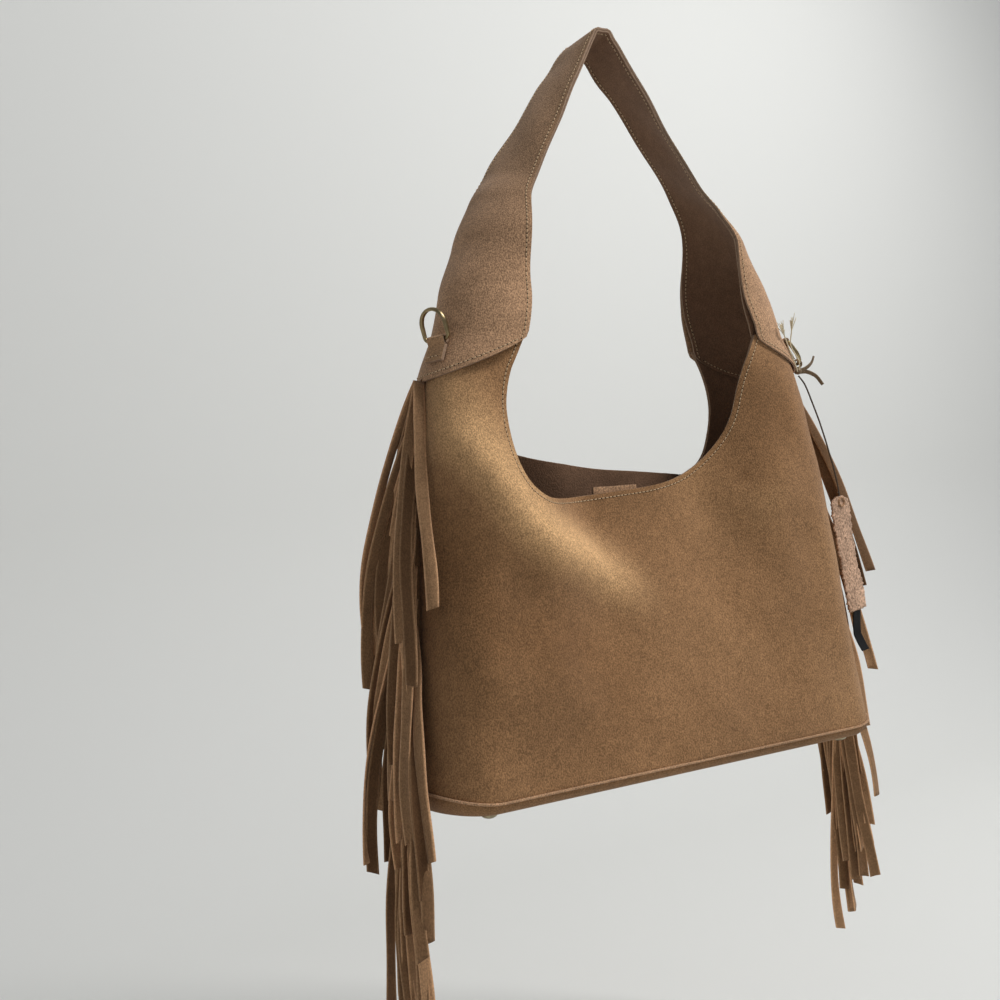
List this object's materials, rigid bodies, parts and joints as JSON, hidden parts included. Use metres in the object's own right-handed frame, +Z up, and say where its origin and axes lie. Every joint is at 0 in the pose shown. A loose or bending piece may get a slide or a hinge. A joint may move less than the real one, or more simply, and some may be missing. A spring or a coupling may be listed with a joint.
{
  "type": "suede shoulder bag",
  "caption": "Slouchy suede shoulder bag with a scooped open mouth, one saddle-ended strap, ring loops, long side fringes, a footed flat base and swing tags.",
  "frame": {"origin": "underside of the strap at its crown, where a hook bears", "axes": "+Z up, the front faces -Y, +X to the right as seen from the front"},
  "size_m": [0.4498, 0.104, 0.6872],
  "materials": {
    "suede": "suede nap",
    "suede_light": "suede nap, lighter",
    "suede_inside": "suede nap, brown",
    "patch_suede": "rough suede",
    "lining_cloth": "plain weave",
    "stiffener": "plain",
    "aged_brass": "antique",
    "aged_steel": "antique",
    "dark_thread": "twisted thread",
    "black_tape": "ribbed tape",
    "pale_string": "frayed twine"
  },
  "bodies": {
    "bag": {"front_panel": "suede", "back_panel": "suede", "base_panel": "suede", "front_facing": "suede_inside", "back_facing": "suede_inside", "strap_lining": "suede_inside", "front_lining": "lining_cloth", "back_lining": "lining_cloth", "lining_floor": "lining_cloth", "base_board": "stiffener", "strap_outer": "suede_light", "left_ring_loop": "suede", "right_ring_loop": "suede", "left_fringe": "suede", "right_fringe": "suede", "closure_tab": "suede_light", "snap_front": "aged_brass", "snap_back": "aged_brass", "foot_front_left": "aged_steel", "foot_washer_front_left": "aged_steel", "foot_front_right": "aged_steel", "foot_washer_front_right": "aged_steel", "foot_back_left": "aged_steel", "foot_washer_back_left": "aged_steel", "foot_back_right": "aged_steel", "foot_washer_back_right": "aged_steel"},
    "left_ring_body": {"left_ring": "aged_brass"},
    "right_ring_body": {"right_ring": "aged_brass", "string_end_left": "pale_string", "string_end_right": "pale_string"},
    "swing_tags": {"lace_knot": "suede_light", "tag_cord": "dark_thread", "suede_patch": "patch_suede", "black_ribbon": "black_tape"}
  },
  "joints": [
    {"name": "left_ring_swing", "type": "hinge", "parent": "bag", "child": "left_ring_body", "pos_m": [-0.1485, -0.01134, -0.22], "axis": [0.342, -0.9397, 0], "range_deg": [0, 130]},
    {"name": "right_ring_swing", "type": "hinge", "parent": "bag", "child": "right_ring_body", "pos_m": [0.1485, -0.01134, -0.22], "axis": [0.342, 0.9397, 0], "range_deg": [-95, 0]},
    {"name": "tags_swing", "type": "hinge", "parent": "right_ring_body", "child": "swing_tags", "pos_m": [0.15846, -0.01497, -0.23696], "axis": [0.342, 0.9397, 0], "range_deg": [-70, 0]}
  ]
}
